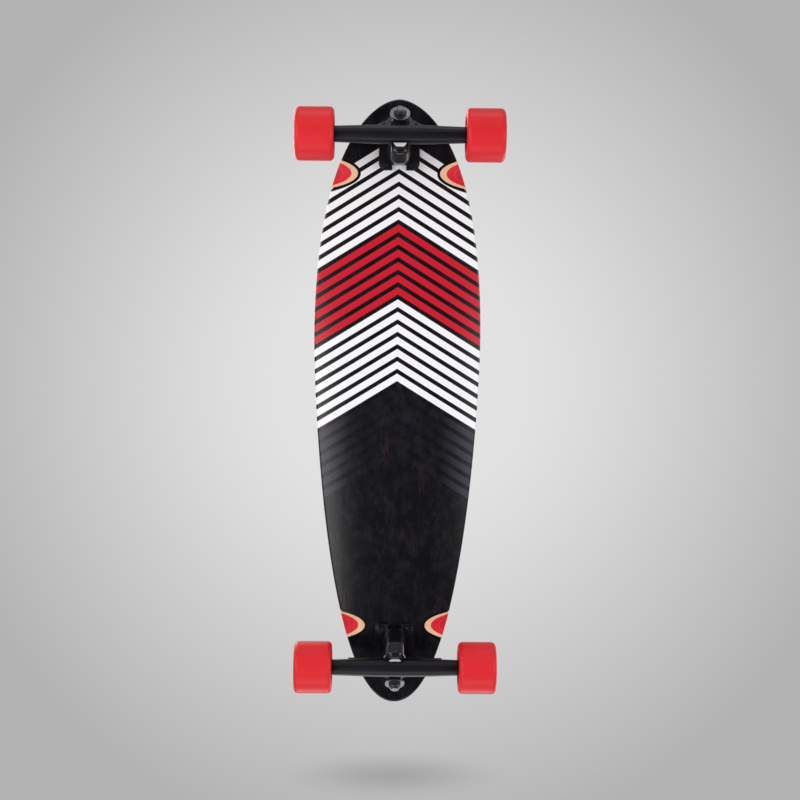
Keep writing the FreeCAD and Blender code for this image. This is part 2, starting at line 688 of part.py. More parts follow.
def make_axle_hardware(end, truck):
    axle = size("axle_length")
    bar = rod(f"{end}_axle", size("axle_radius"), axle,
              Placement(Vector(-float(axle) / 2, 0, 0), SIDES["right"]))
    finished(f"{end}_axle", bar, truck)
    bore = size("axle_radius") + size("fit_gap")
    nuts, rings, spacers = [], [], []
    for hand, turn in SIDES.items():
        out = Placement(Vector(), turn)
        nuts.append(lock_nut(f"{end}_{hand}_axle_nut", size("axle_nut_flats"), size("axle_nut_height"), bore,
                             out.multiply(at(0, 0, nut_start))))
        for index, start in enumerate((stack_start, nut_start - size("speed_ring_thickness"))):
            points = tube_points(bore, size("speed_ring_radius"), start, size("speed_ring_thickness"))
            rings.append(turned(f"{end}_{hand}_speed_ring_{index}", points, out))
        points = tube_points(bore, size("spacer_radius"), bearing_in + size("bearing_width"),
                             size("spacer_length"))
        spacers.append(turned(f"{end}_{hand}_spacer", points, out))
    for name, pieces in (("axle_nuts", nuts), ("speed_rings", rings), ("bearing_spacers", spacers)):
        finished(f"{end}_{name}", group(f"{end}_{name}", pieces), truck)


def make_tyre(name, place):
    """The urethane tyre: round lips, a shallow dish inboard and a deep one outboard."""
    start = stack_start - size("wheel_overlap")
    stop = start + size("wheel_width")
    rim = size("wheel_radius")
    seat = size("core_radius")
    dish = seat + size("core_lip")
    mouth = size("wheel_mouth_radius")
    tyre = turned(f"{name}_tyre", [
        (seat, bearing_in), (dish, bearing_in), (mouth, start), (rim, start), (rim, stop), (mouth, stop),
        (dish, bearing_out + size("bearing_width")), (seat, bearing_out + size("bearing_width")),
    ])
    rim_value = float(rim)
    rounded(tyre, size("wheel_lip"), lambda e: (
        e.BoundBox.ZLength < TOUCH and abs(e.BoundBox.XLength / 2 - rim_value) < TOUCH))
    tyre.Placement = place
    finished(f"{name}_tyre", tyre)


def bearing_race(name, back, land, start):
    """A bearing ring with a round track for the balls in the side that faces them."""
    body = doc.addObject("PartDesign::Body", name)
    sketch = body.newObject("Sketcher::SketchObject", name + "_section")
    sketch.AttachmentSupport = [(plane(body, "XZ_Plane"), "")]
    sketch.MapMode = "FlatFace"
    stop = start + size("bearing_width")
    middle = start + size("bearing_width") / 2
    pitch = size("pitch_radius")
    track = size("ball_radius") + size("race_gap")
    half_chord = math.sqrt(float(track) ** 2 - float(land - pitch) ** 2)
    swing = math.asin(half_chord / float(track))
    towards = 0 if float(land) > float(pitch) else math.pi
    circle = Part.Circle(Vector(float(pitch), float(middle), 0), Vector(0, 0, 1), float(track))
    low = Vector(float(land), float(middle) - half_chord, 0)
    high = Vector(float(land), float(middle) + half_chord, 0)
    corners = [Vector(float(x), float(y), 0) for x, y in
               ((back, start), (land, start), (land, stop), (back, stop))]
    for shape in (
        Part.LineSegment(corners[0], corners[1]), Part.LineSegment(corners[1], low),
        Part.ArcOfCircle(circle, towards - swing, towards + swing), Part.LineSegment(high, corners[2]),
        Part.LineSegment(corners[2], corners[3]), Part.LineSegment(corners[3], corners[0]),
    ):
        sketch.addGeometry(shape, False)
    # The arc runs anticlockwise, so its lower end comes first only on the outer ring
    lower, upper = (1, 2) if towards == 0 else (2, 1)
    for first, second in (((0, 2), (1, 1)), ((1, 2), (2, lower)), ((2, upper), (3, 1)), ((3, 2), (4, 1)),
                          ((4, 2), (5, 1)), ((5, 2), (0, 1))):
        sketch.addConstraint(Sketcher.Constraint("Coincident", *first, *second))
    for index, x, y in ((0, back, start), (1, land, start), (4, land, stop), (5, back, stop)):
        pin_point(sketch, index, 1, x, y)
    sketch.addConstraint(Sketcher.Constraint("Vertical", 1))
    sketch.addConstraint(Sketcher.Constraint("Vertical", 3))
    pin_point(sketch, 2, 3, pitch, middle)
    made = sketch.addConstraint(Sketcher.Constraint("Radius", 2, float(track)))
    sketch.setExpression(f"Constraints[{made}]", track.formula)
    turn = body.newObject("PartDesign::Revolution", name + "_turn")
    turn.Profile = sketch
    turn.ReferenceAxis = (sketch, ["V_Axis"])
    turn.Angle = 360
    doc.recompute()
    return body


def make_wheel(name, place):
    make_tyre(name, place)
    width = size("bearing_width")
    bore = size("bearing_radius") + size("fit_gap")
    shoulder = size("core_shoulder_radius")
    outside = size("core_radius") - size("fit_gap")
    core = turned(f"{name}_core", [
        (bore, bearing_in), (outside, bearing_in), (outside, bearing_out + width),
        (bore, bearing_out + width), (bore, bearing_out), (shoulder, bearing_out),
        (shoulder, bearing_in + width), (bore, bearing_in + width),
    ], place)
    finished(f"{name}_core", core)
    pieces = {"outer_races": [], "inner_races": [], "balls": [], "shields": []}
    for index, start in enumerate((bearing_in, bearing_out)):
        centre = start + width / 2
        for kind, back, land in (
            ("outer_races", size("bearing_radius"), size("outer_land_radius")),
            ("inner_races", size("axle_radius") + size("fit_gap"), size("inner_land_radius")),
        ):
            pieces[kind].append(bearing_race(f"{name}_{kind}_{index}", back, land, start))
        for ball_index in range(BALLS):
            ball = doc.addObject("Part::Sphere", f"{name}_ball_{index}_{ball_index}")
            ball.setExpression("Radius", size("ball_radius").formula)
            turn = 2 * math.pi * ball_index / BALLS
            radius = float(size("pitch_radius"))
            ball.Placement = at(radius * math.cos(turn), radius * math.sin(turn), centre)
            pieces["balls"].append(ball)
        thick = size("shield_thickness")
        lows = (start + size("shield_inset"), start + width - size("shield_inset") - thick)
        for side, low in enumerate(lows):
            pieces["shields"].append(turned(f"{name}_shield_{index}_{side}", tube_points(
                size("inner_land_radius") + size("shield_gap"), size("outer_land_radius"), low, thick)))
    for kind, made in pieces.items():
        finished(f"{name}_bearing_{kind}", group(f"{name}_bearing_{kind}", made, place))


make_deck()
make_grip_tape()
for end, truck in TRUCKS.items():
    make_baseplate(end, truck)
    make_pivot(end, truck)
    make_kingpin_stack(end, truck)
    make_mounting_hardware(end, truck)
    make_hanger(end, truck)
    make_axle_hardware(end, truck)
    for hand, turn in SIDES.items():
        # The rear truck is turned round, so its own right side is the board's left
        board_hand = hand if end == "front" else {"right": "left", "left": "right"}[hand]
        make_wheel(f"{end}_{board_hand}_wheel", truck.multiply(Placement(Vector(), turn)))
doc.recompute()

failed = [o.Name for o in doc.Objects if {"Invalid", "Error"} & set(o.State)]
if failed:
    raise RuntimeError(f"failed objects: {failed}")
for piece in sub_parts:
    if piece.Shape.isNull() or not piece.Shape.isValid():
        raise RuntimeError(f"bad shape: {piece.Label}")
os.makedirs("parts", exist_ok=True)
for piece in sub_parts:
    piece.Shape.exportStep(f"parts/{piece.Label}.step")
print(len(sub_parts), "sub-parts written")
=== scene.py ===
import bpy
import math
from mathutils import Matrix, Vector


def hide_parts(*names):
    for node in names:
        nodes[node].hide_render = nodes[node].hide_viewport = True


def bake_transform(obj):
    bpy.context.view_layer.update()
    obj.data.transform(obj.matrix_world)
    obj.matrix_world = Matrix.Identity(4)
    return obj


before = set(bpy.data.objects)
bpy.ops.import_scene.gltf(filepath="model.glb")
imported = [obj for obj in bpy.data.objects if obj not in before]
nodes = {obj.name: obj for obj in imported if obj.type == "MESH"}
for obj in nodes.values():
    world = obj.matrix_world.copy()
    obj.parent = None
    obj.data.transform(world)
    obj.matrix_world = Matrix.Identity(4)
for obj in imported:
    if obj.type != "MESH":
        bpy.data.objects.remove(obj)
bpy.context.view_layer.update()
scene = bpy.context.scene
scene.view_settings.view_transform = "Standard"

# Heights and sections of the board, in metres
DECK_UNDERSIDE = 0.103
DECK_THICKNESS = 0.0115
FLAT_HALF_WIDTH = 0.032
CONCAVE_RADIUS = 0.56
PLY_COUNT = 8
PLY = DECK_THICKNESS / PLY_COUNT
ENDS = {"front": 1, "rear": -1}
HANDS = ("left", "right")

# Trucks mirror each other about a plane a little nearer the nose than the deck's middle
TRUCK_SHIFT = 0.010
AXLE_STATION = 0.358
AXLE_HEIGHT = 0.035
PIVOT_RAKE = 0.012
RING_REACH = 0.032
RING_HALF = 0.0035
HALF_ROOT = math.sqrt(0.5)
PIVOT_FOOT = (AXLE_STATION - PIVOT_RAKE * HALF_ROOT, AXLE_HEIGHT + PIVOT_RAKE * HALF_ROOT)

# Bushings: the widest radius, the bore and the length, then each one's side, far radius and waist
BUSHING_RADIUS = 0.0124
BUSHING_BORE = 0.0048
BUSHING_LENGTH = 0.015
BUSHING_RIM = 0.0012
RIM_STEPS = 4
SIDE_STEPS = 12
BUSHINGS = (("boardside", -1, BUSHING_RADIUS, 0.0014), ("roadside", 1, 0.0096, 0.0004))

# Bright milled facet at a tower's mouth, its brightness a painted highlight: where it starts along and
# across the pivot axis, its run and fall
FACET_MOUTH = (-0.0135, 0.0102)
FACET_RUN = 0.009
FACET_FALL = 0.0018
FACET_END_SOFT = 0.00015
FACET_SIDE_SOFT = (0.0002, 0.00012)

# Wheel wells by station and half width at the rail
WELLS = ((0.320, 0.08513), (-0.308, 0.07153))
WELL_REACH = 0.030
WELL_DEPTH = 0.004
WELL_HALF_LENGTH = 0.019

# Soft edges of the print round a well, as distances into it: the black frame, then the milled face
WELL_FRAME = (-0.0036, -0.0032)
WELL_BRIM = (-0.0004, 0.0)

# Soft edges of the print on the deck: the depths where it ends on the rim and where milling has cut
# through it, and how far the face looks down there
PRINT_END = (0.0029, 0.0025)
MILLED_FROM = (0.00005, 0.00012)
RIM_TURN = (0.05, 0.15)

# Printed chevrons: spacing along the board, inked share of it and slope across the board
CHEVRON_PITCH = 0.017
CHEVRON_INKED = 0.6
CHEVRON_SLOPE = 0.62
BAR_SOFT = 0.025
GROUP_SOFT = 0.01

# Groups of chevrons by their count towards the nose. The ghost group is a varnish print, shown by a painted
# sheen that is strongest near the rails
PRINTED_GROUP = (2, 22)
RED_GROUP = (9, 15)
GHOST_GROUP = (-4, 2)
GHOST_SHEEN_REACH = (0.055, 0.102)
GHOST_SHEEN_SHARE = (0.06, 0.85)

# Lines on the cut plies, in plies: their soft edge, the milling rings and the glue
PLY_SOFT = 0.03
MILLING_WANDER = 0.25
MILLING_SPACING = 0.13
MILLING_WIDTH = 0.05
MILLING_SHADE = 0.16
GLUE_WIDTH = 0.035
GLUE_SHADE = 0.5

# The photograph's camera, below the board, fitted to the tips, wheels and nuts
IMAGE_SIZE = 800
SENSOR = 36.0
CAMERA_DISTANCE = 2.0
CAMERA_FOCAL_PIXELS = 1472.5
CAMERA_PITCH = math.radians(6.75)
CAMERA_YAW = math.radians(0.9)
CAMERA_ROLL = math.radians(-0.47)
CAMERA_AIM = Vector((0, 0, 0.07))
CAMERA_SIDESTEP = Vector((0.004, 0.0148, 0))
FROM_BELOW = Matrix(((-1, 0, 0), (0, 1, 0), (0, 0, -1)))
CAMERA_TURN = (Matrix.Rotation(CAMERA_ROLL, 3, "Z") @ Matrix.Rotation(CAMERA_YAW, 3, "Y")
               @ Matrix.Rotation(CAMERA_PITCH, 3, "X") @ FROM_BELOW).transposed()

# Sockets of a colour mix node, which share their names with its other kinds
MIX_SHARE, MIX_FIRST, MIX_SECOND, MIX_RESULT = 0, 6, 7, 2


# Node building blocks


class NodeBuilder:
    """Adds nodes to one tree, so that each formula reads as one line."""

    def __init__(self, tree, coordinates):
        self.tree = tree
        self.coordinates = self.add("TexCoord").outputs[coordinates]

    def add(self, kind):
        return self.tree.nodes.new(f"ShaderNode{kind}")

    def put(self, socket, value):
        if isinstance(value, bpy.types.NodeSocket):
            self.tree.links.new(value, socket)
        else:
            socket.default_value = value

    def fill(self, node, values):
        """Puts values on a node's inputs by name or index."""
        for key, value in values.items():
            self.put(node.inputs[key], value)

    def math(self, operation, first, second=0.0, third=0.0):
        node = self.add("Math")
        node.operation = operation
        self.fill(node, {0: first, 1: second, 2: third})
        return node.outputs[0]

    def ramp(self, value, start, stop, low=0.0, high=1.0):
        """A smooth step from low to high."""
        node = self.add("MapRange")
        node.interpolation_type = "SMOOTHSTEP"
        self.fill(node, {"Value": value, "From Min": start, "From Max": stop, "To Min": low, "To Max": high})
        return node.outputs[0]

    def band(self, value, low, high, soft):
        """One inside the band and nothing outside, with soft edges."""
        rise = self.ramp(value, low - soft, low + soft)
        fall = self.ramp(value, high + soft, high - soft)
        return self.math("MULTIPLY", rise, fall)

    def mix(self, share, first, second):
        node = self.add("Mix")
        node.data_type = "RGBA"
        self.fill(node, {MIX_SHARE: share, MIX_FIRST: first, MIX_SECOND: second})
        return node.outputs[MIX_RESULT]

    def length(self, first, second):
        squares = [self.math("MULTIPLY", side, side) for side in (first, second)]
        return self.math("SQRT", self.math("ADD", *squares))

    def dot(self, way):
        """How far the coordinates reach along a direction."""
        node = self.add("VectorMath")
        node.operation = "DOT_PRODUCT"
        self.fill(node, {0: self.coordinates, 1: way})
        return node.outputs["Value"]


class Shader(NodeBuilder):
    """One material's tree, with its textures and its surface."""

    def __init__(self, name):
        self.material = bpy.data.materials.new(name)
        self.material.use_nodes = True
        super().__init__(self.material.node_tree, "Object")
        self.surface = self.tree.nodes["Principled BSDF"]

    def set(self, **values):
        """Puts constants or outputs on the shader's own sockets."""
        self.fill(self.surface, {name.replace("_", " "): value for name, value in values.items()})

    def split(self, vector):
        node = self.add("SeparateXYZ")
        self.put(node.inputs[0], vector)
        return node.outputs

    def noise(self, scale, detail=3.0, roughness=0.55, stretch=None, distortion=0.0):
        vector = self.coordinates
        if stretch is not None:
            mapping = self.add("Mapping")
            self.fill(mapping, {"Vector": vector, "Scale": stretch})
            vector = mapping.outputs[0]
        node = self.add("TexNoise")
        self.fill(node, {"Vector": vector, "Scale": scale, "Detail": detail, "Roughness": roughness,
                         "Distortion": distortion})
        return node.outputs[0]

    def normal(self):
        return self.add("NewGeometry").outputs["Normal"]

    def bump(self, height, strength, distance, normal=None):
        node = self.add("Bump")
        self.fill(node, {"Strength": strength, "Distance": distance, "Height": height})
        if normal is not None:
            self.put(node.inputs["Normal"], normal)
        return node.outputs[0]

    def soft_edges(self, radius):
        node = self.add("Bevel")
        node.samples = 6
        node.inputs["Radius"].default_value = radius
        return node.outputs[0]


def linear(red, green, blue):
    """A colour written as 0 to 255 in sRGB."""
    def straight(level):
        share = level / 255
        return share / 12.92 if share <= 0.04045 else ((share + 0.055) / 1.055) ** 2.4
    return (straight(red), straight(green), straight(blue), 1.0)


def paint(node, material):
    mesh = nodes[node].data
    mesh.materials.clear()
    mesh.materials.append(material)


# Colours

INK_BLACK = linear(6, 6, 9)
INK_WORN = linear(37, 32, 43)
INK_RUBBED = linear(92, 54, 56)
# Ghost chevron ink, lightened as a painted sheen
GHOST_INK_AND_SHEEN = linear(57, 53, 63)
INK_WHITE = linear(240, 238, 240)
INK_RED = linear(196, 22, 42)
DUST = linear(92, 80, 82)
MAPLE = linear(248, 210, 174)
MAPLE_DARK = linear(222, 172, 130)
PLY_RED = linear(232, 4, 44)
PLY_CORE_RED = linear(206, 3, 33)
PLY_SHADOW = linear(38, 26, 28)
GRIT_DARK = linear(16, 16, 17)
GRIT_LIGHT = linear(62, 61, 63)
GRIT_TRODDEN = linear(52, 50, 49)
COAT_DARK = linear(12, 10, 17)
COAT_LIGHT = linear(23, 20, 30)
# Milled facet colours, near white as a painted highlight
FACET_BARE_AND_HIGHLIGHT_DARK = linear(236, 235, 236)
FACET_BARE_AND_HIGHLIGHT_LIGHT = linear(250, 249, 250)


# Materials


def worn_black(shader, pores):
    """Black print with clouds of fine wear and a few rubbed streaks along the grain."""
    clouds = shader.noise(44.0, detail=7.0, roughness=0.78, stretch=(1.3, 0.8, 1.3))
    rubs = shader.noise(11.0, detail=4.0, roughness=0.7, stretch=(5.0, 0.8, 5.0))
    fine = shader.ramp(pores, 0.4, 0.7)
    worn = shader.math("MULTIPLY", shader.ramp(clouds, 0.42, 0.64), shader.ramp(fine, 0.0, 1.0, 0.3, 1.0))
    rubbed = shader.math("MULTIPLY", shader.ramp(rubs, 0.58, 0.74), shader.ramp(fine, 0.2, 0.9, 0.0, 0.5))
    return shader.mix(rubbed, shader.mix(worn, INK_BLACK, INK_WORN), INK_RUBBED)


def deck_design(shader, x_size, y, black):
    """Printed chevrons that point to the nose: white on black, a red group, and a varnished ghost below,
    shown by a painted sheen that grows towards the rails.
    """
    along = shader.math("ADD", y, shader.math("MULTIPLY", x_size, CHEVRON_SLOPE))
    count = shader.math("DIVIDE", along, CHEVRON_PITCH)
    margin = (1 - CHEVRON_INKED) / 2
    bar = shader.band(shader.math("FRACT", count), margin, 1 - margin, BAR_SOFT)
    printed = shader.band(count, *PRINTED_GROUP, GROUP_SOFT)
    red = shader.band(count, *RED_GROUP, GROUP_SOFT)
    ghost = shader.band(count, *GHOST_GROUP, GROUP_SOFT)
    colour = shader.mix(shader.math("MULTIPLY", bar, printed), black, shader.mix(red, INK_WHITE, INK_RED))
    # The ghost bars take a painted sheen, faint at the middle and strong near the rails
    satin_sheen = shader.math("MULTIPLY", shader.math("MULTIPLY", bar, ghost),
                        shader.ramp(x_size, *GHOST_SHEEN_REACH, *GHOST_SHEEN_SHARE))
    return shader.mix(satin_sheen, colour, GHOST_INK_AND_SHEEN)


def well_distance(shader, x_size, y):
    """How far inside the nearest well's brim a point is, below nothing outside it."""
    nearest = None
    radius = (WELL_HALF_LENGTH ** 2 + WELL_DEPTH ** 2) / (2 * WELL_DEPTH)
    fall = WELL_DEPTH / WELL_REACH
    for station, rail in WELLS:
        aside = shader.math("SUBTRACT", y, station)
        cut = shader.math("MULTIPLY", shader.math("SUBTRACT", x_size, rail - WELL_REACH), fall)
        scoop = shader.math("DIVIDE", shader.math("MULTIPLY", aside, aside), 2 * radius)
        slope = shader.length(shader.math("DIVIDE", aside, radius), fall)
        inside = shader.math("DIVIDE", shader.math("SUBTRACT", cut, scoop), slope)
        nearest = inside if nearest is None else shader.math("MAXIMUM", nearest, inside)
    return nearest


def ply_colour(shader, depth, fibre):
    """Plies by depth from the underside: natural face, two red, then natural and red by turns."""
    red_ply = shader.mix(shader.ramp(fibre, 0.3, 0.75), PLY_RED, PLY_CORE_RED)
    layer = shader.math("DIVIDE", depth, PLY)
    colour = shader.mix(fibre, MAPLE, MAPLE_DARK)
    for low, high, tone in ((1.0, 2.05, red_ply), (2.05, 3.0, PLY_CORE_RED), (4.0, 5.0, red_ply),
                            (6.0, 7.0, red_ply)):
        colour = shader.mix(shader.band(layer, low, high, PLY_SOFT), colour, tone)
    # Milling across the plies shows their grain as thin rings, and the glue as darker ones
    grain = shader.math("MULTIPLY_ADD", fibre, MILLING_WANDER, layer)
    rings = shader.math("PINGPONG", grain, MILLING_SPACING)
    colour = shader.mix(shader.ramp(rings, MILLING_WIDTH, 0.0, 0.0, MILLING_SHADE), colour, PLY_SHADOW)
    glue = shader.math("PINGPONG", layer, 0.5)
    return shader.mix(shader.ramp(glue, GLUE_WIDTH, 0.0, 0.0, GLUE_SHADE), colour, PLY_SHADOW)


def deck_material():
    """Lacquered maple: printed below, with its plies open in the wells and on the edge."""
    shader = Shader("deck_lacquered_maple")
    x, y, z = shader.split(shader.coordinates)
    x_size = shader.math("ABSOLUTE", x)
    out = shader.math("MAXIMUM", shader.math("SUBTRACT", x_size, FLAT_HALF_WIDTH), 0.0)
    rise = shader.math("DIVIDE", shader.math("MULTIPLY", out, out), 2 * CONCAVE_RADIUS)
    depth = shader.math("SUBTRACT", shader.math("SUBTRACT", z, DECK_UNDERSIDE), rise)
    down = shader.math("MULTIPLY", shader.split(shader.normal())[2], -1.0)

    # Veneer grain runs along the board
    fibre = shader.noise(9.0, detail=5.0, roughness=0.6, stretch=(26.0, 1.0, 26.0))
    pores = shader.noise(60.0, detail=4.0, roughness=0.7, stretch=(22.0, 0.7, 22.0))
    wood = ply_colour(shader, depth, fibre)

    design = deck_design(shader, x_size, y, worn_black(shader, pores))
    scuff = shader.noise(7.0, detail=6.0, roughness=0.7, stretch=(3.0, 0.6, 3.0))
    scuff = shader.ramp(scuff, 0.55, 0.8)
    dust = shader.math("MULTIPLY", scuff, shader.ramp(pores, 0.45, 0.7, 0.0, 0.05))
    ink = shader.mix(dust, design, DUST)

    # Print covers the pressed face and its rounded edge, but not the milled wells, which it frames in black
    in_well = well_distance(shader, x_size, y)
    ink = shader.mix(shader.ramp(in_well, *WELL_FRAME), ink, INK_BLACK)
    skin = shader.math("MULTIPLY", shader.ramp(depth, *PRINT_END), shader.ramp(down, *RIM_TURN))
    milled = shader.math("MULTIPLY", shader.ramp(depth, *MILLED_FROM), shader.ramp(in_well, *WELL_BRIM))
    covered = shader.math("MULTIPLY", skin, shader.math("SUBTRACT", 1.0, milled))

    rough_wood = shader.ramp(fibre, 0.2, 0.8, 0.42, 0.58)
    rough_print = shader.ramp(scuff, 0.0, 1.0, 0.2, 0.27)
    open_wood = shader.math("SUBTRACT", 1.0, covered)
    roughness = shader.math("ADD", shader.math("MULTIPLY", covered, rough_print),
                            shader.math("MULTIPLY", open_wood, rough_wood))
    shader.set(Base_Color=shader.mix(covered, wood, ink), Roughness=roughness, Specular_IOR_Level=0.4,
               Normal=shader.bump(pores, 0.12, 0.0003))
    return shader.material


def grip_material():
    """Black abrasive tape with brighter grains and a few trodden patches."""
    shader = Shader("grip_tape_black_grit")
    grit = shader.noise(2600.0, detail=2.0, roughness=0.6)
    patches = shader.noise(18.0)
    colour = shader.mix(shader.ramp(grit, 0.42, 0.72), GRIT_DARK, GRIT_LIGHT)
    colour = shader.mix(shader.ramp(patches, 0.5, 0.8, 0.0, 0.25), colour, GRIT_TRODDEN)
    shader.set(Base_Color=colour, Roughness=shader.ramp(grit, 0.3, 0.75, 0.95, 0.55),
               Normal=shader.bump(grit, 0.9, 0.0006))
    return shader.material


def facet_highlight_mask(shader):
    """One on the milled facet at a tower's mouth, where a highlight is painted, found by its place across
    and along the pivot axis.
    """
    _, y, z = shader.split(shader.coordinates)
    from_middle = shader.math("ABSOLUTE", shader.math("SUBTRACT", y, TRUCK_SHIFT))
    out = shader.math("SUBTRACT", from_middle, PIVOT_FOOT[0])
    up = shader.math("SUBTRACT", z, PIVOT_FOOT[1])
    along = shader.math("MULTIPLY", shader.math("ADD", out, up), HALF_ROOT)
    across = shader.math("MULTIPLY", shader.math("SUBTRACT", out, up), HALF_ROOT)
    back = shader.math("SUBTRACT", FACET_MOUTH[0], along)
    line = shader.math("MULTIPLY_ADD", back, FACET_FALL / FACET_RUN, FACET_MOUTH[1])
    off = shader.math("ABSOLUTE", shader.math("SUBTRACT", across, line))
    between = shader.band(back, 0.0, FACET_RUN, FACET_END_SOFT)
    return shader.math("MULTIPLY", shader.ramp(off, *FACET_SIDE_SOFT), between)


def black_casting(name, gloss, metallic, milled=False):
    """Black coated casting, with an uncoated milled facet on the baseplates, painted near white as a
    highlight.
    """
    shader = Shader(name)
    cast = shader.noise(900.0, roughness=0.6)
    drift = shader.noise(26.0)
    colour = shader.mix(drift, COAT_DARK, COAT_LIGHT)
    roughness = shader.ramp(drift, 0.3, 0.7, gloss, gloss + 0.12)
    if milled:
        # The milled facet is painted near white and almost non-metallic: a painted highlight on uncoated
        # metal
        bare_and_highlight = facet_highlight_mask(shader)
        marks = shader.noise(700.0, detail=2.0, roughness=0.6, stretch=(0.1, 1, 1))
        colour = shader.mix(bare_and_highlight, colour, shader.mix(marks, FACET_BARE_AND_HIGHLIGHT_DARK, FACET_BARE_AND_HIGHLIGHT_LIGHT))
        metallic = shader.ramp(bare_and_highlight, 0.0, 1.0, metallic, 0.05)
    shader.set(Base_Color=colour, Metallic=metallic, Roughness=roughness, Coat_Weight=0.25,
               Coat_Roughness=gloss * 0.8, Normal=shader.bump(cast, 0.16, 0.0002, shader.soft_edges(0.0012)))
    return shader.material


def metal(name, dark, light, smoothest, roughest, edge):
    """Turned or plated metal with fine marks."""
    shader = Shader(name)
    marks = shader.noise(520.0, roughness=0.6)
    drift = shader.noise(60.0, detail=2.0)
    shader.set(Base_Color=shader.mix(drift, linear(*dark), linear(*light)), Metallic=1.0,
               Roughness=shader.ramp(marks, 0.25, 0.75, smoothest, roughest),
               Normal=shader.bump(marks, 0.08, 0.0002, shader.soft_edges(edge)))
    return shader.material


def urethane(name, dark, light, gloss, glow):
    """Cast urethane: a soft body colour with faint flow marks and light that sinks in."""
    shader = Shader(name)
    flow = shader.noise(22.0, roughness=0.5, distortion=0.6)
    skin = shader.noise(420.0, roughness=0.6)
    shader.set(Base_Color=shader.mix(flow, linear(*dark), linear(*light)),
               Roughness=shader.ramp(skin, 0.3, 0.7, gloss, gloss + 0.1),
               Subsurface_Weight=glow, Subsurface_Radius=(0.004, 0.0012, 0.001), Subsurface_Scale=1.0,
               Specular_IOR_Level=0.32, Normal=shader.bump(skin, 0.05, 0.0003))
    return shader.material


# Metals: name, darker and lighter colour, least and greatest roughness, radius of the worn edges
METALS = {
    "dull_zinc": ("dull_zinc_steel", (92, 90, 97), (124, 122, 128), 0.34, 0.48, 0.0003),
    "zinc": ("zinc_plated_steel", (150, 149, 152), (196, 195, 196), 0.2, 0.36, 0.0003),
    "black_zinc": ("black_zinc_steel", (50, 49, 52), (92, 90, 94), 0.18, 0.3, 0.0003),
    "ground_steel": ("ground_bearing_steel", (168, 168, 172), (208, 207, 208), 0.1, 0.2, 0.0002),
}
# Cast and moulded plastics: name, darker and lighter colour, roughness, share of light that sinks in
PLASTICS = {
    "wheel": ("wheel_red_urethane", (208, 20, 30), (224, 34, 44), 0.37, 0.12),
    "core": ("core_red_nylon", (176, 18, 30), (196, 28, 40), 0.42, 0.0),
    "bushing": ("bushing_black_urethane", (24, 23, 26), (36, 34, 38), 0.38, 0.0),
}
materials = {
    "deck": deck_material(),
    "grip": grip_material(),
    "casting": black_casting("truck_black_coat", 0.38, 0.7),
    "milled_highlight_casting": black_casting("truck_black_coat_milled_highlight", 0.22, 0.35, True),
}
materials.update({key: metal(*values) for key, values in METALS.items()})
materials.update({key: urethane(*values) for key, values in PLASTICS.items()})

paint("deck", materials["deck"])
paint("grip_tape", materials["grip"])
TRUCK_FINISH = {
    "baseplate": "milled_highlight_casting", "hanger": "casting", "pivot_cup": "bushing", "kingpin": "black_zinc",
    "kingpin_nut": "dull_zinc", "boardside_washer": "dull_zinc", "roadside_washer": "dull_zinc",
    "mounting_bolts": "black_zinc", "mounting_nuts": "black_zinc", "axle": "zinc", "axle_nuts": "zinc",
    "speed_rings": "zinc", "bearing_spacers": "ground_steel",
}
WHEEL_FINISH = {
    "tyre": "wheel", "core": "core", "bearing_outer_races": "ground_steel",
    "bearing_inner_races": "ground_steel", "bearing_balls": "ground_steel", "bearing_shields": "zinc",
}
for end in ENDS:
    for piece, finish in TRUCK_FINISH.items():
        paint(f"{end}_{piece}", materials[finish])
    for hand in HANDS:
        for piece, finish in WHEEL_FINISH.items():
            paint(f"{end}_{hand}_wheel_{piece}", materials[finish])


# Bushings between the board and the hanger, turned in place of the model's own


def turned_mesh(name, profile, origin, axis, steps=72):
    """A closed ring of mesh turned about an axis from (radius, distance) points."""
    turn = axis.to_track_quat("Z", "Y").to_matrix()
    points, faces = [], []
    for step in range(steps):
        angle = 2 * math.pi * step / steps
        for radius, distance in profile:
            local = Vector((radius * math.cos(angle), radius * math.sin(angle), distance))
            points.append(origin + turn @ local)
    count = len(profile)
    for step in range(steps):
        after = (step + 1) % steps
        for index in range(count):
            other = (index + 1) % count
            faces.append((step * count + index, after * count + index, after * count + other,
                          step * count + other))
    mesh = bpy.data.meshes.new(name)
    mesh.from_pydata(points, [], faces)
    mesh.update()
    for polygon in mesh.polygons:
        polygon.use_smooth = True
    made = bpy.data.objects.new(name, mesh)
    scene.collection.objects.link(made)
    return made


def bushing_profile(near, far, waist, bore, length):
    """The half section from the ring's end: rounded rims and a drawn-in side."""
    rim = BUSHING_RIM
    quarter = [math.pi / 2 * step / RIM_STEPS for step in range(RIM_STEPS + 1)]
    profile = [(bore, 0.0)]
    for angle in quarter:
        profile.append((near - rim + rim * math.sin(angle), rim - rim * math.cos(angle)))
    for step in range(1, SIDE_STEPS):
        share = step / SIDE_STEPS
        straight = near + (far - near) * share
        drawn_in = waist * math.sin(math.pi * share) ** 2
        profile.append((straight - drawn_in, rim + (length - 2 * rim) * share))
    for angle in quarter:
        profile.append((far - rim + rim * math.cos(angle), length - rim + rim * math.sin(angle)))
    profile.append((bore, length))
    # The bore has the same steps along it as the side
    for step in range(SIDE_STEPS - 1, 0, -1):
        profile.append((bore, length * step / SIDE_STEPS))
    return profile


